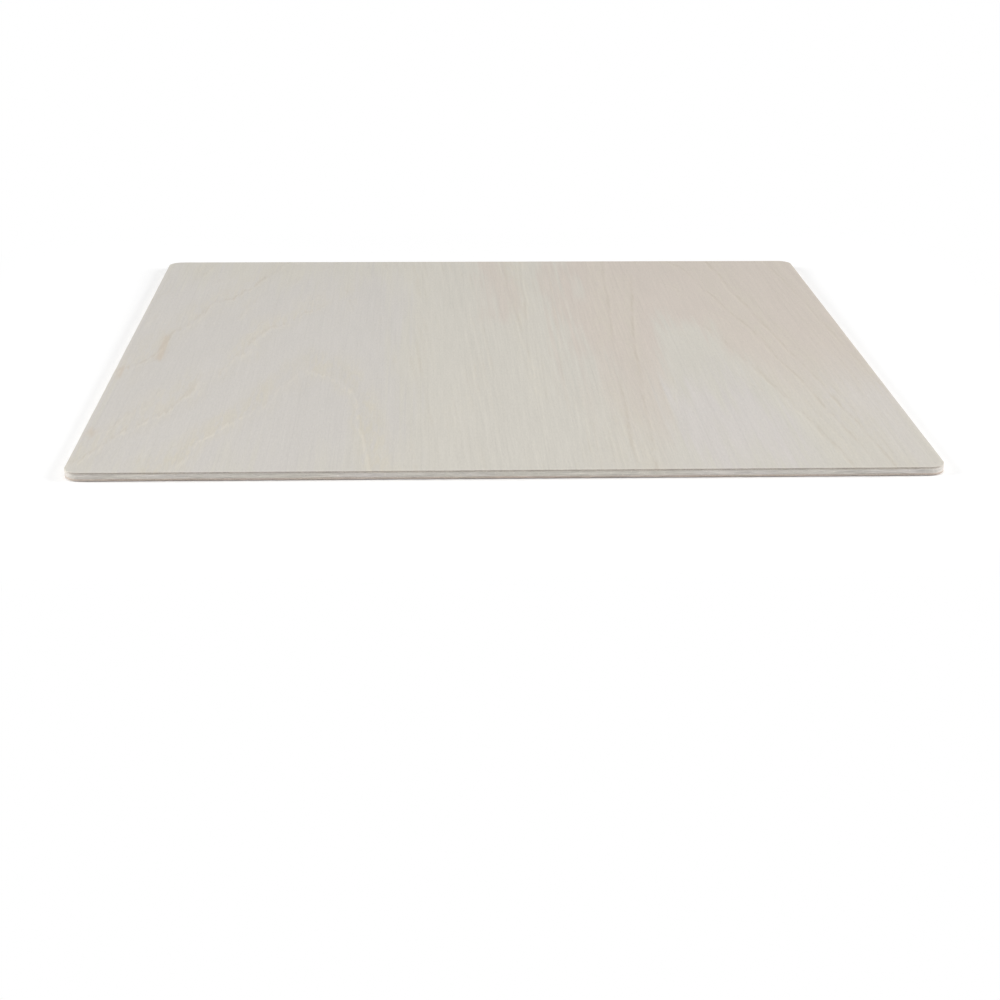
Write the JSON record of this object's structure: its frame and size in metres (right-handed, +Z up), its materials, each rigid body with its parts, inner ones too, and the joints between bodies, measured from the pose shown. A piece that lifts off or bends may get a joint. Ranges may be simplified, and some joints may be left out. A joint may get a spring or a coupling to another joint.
{
  "type": "plywood sheet",
  "caption": "Thin square plywood sheet with rounded corners: face and back veneers glued over a crossways core. Flat stock to cut, glue, paint or use as a backing panel.",
  "frame": {"origin": "centre of the underside, on the surface that the sheet lies on", "axes": "+Z up through the thickness, from the back veneer to the face veneer; the face grain runs along Y, and the front edge faces -Y"},
  "size_m": [0.3, 0.3, 0.003],
  "materials": {
    "back_veneer_wood": "bare pale wood, sanded, grain front to back",
    "core_veneer_wood": "bare pale wood, sawn edge, grain side to side",
    "face_veneer_wood": "bare pale wood, sanded smooth, grain front to back"
  },
  "bodies": {
    "root": {"back_veneer": "back_veneer_wood", "core_veneer": "core_veneer_wood", "face_veneer": "face_veneer_wood"}
  },
  "joints": []
}
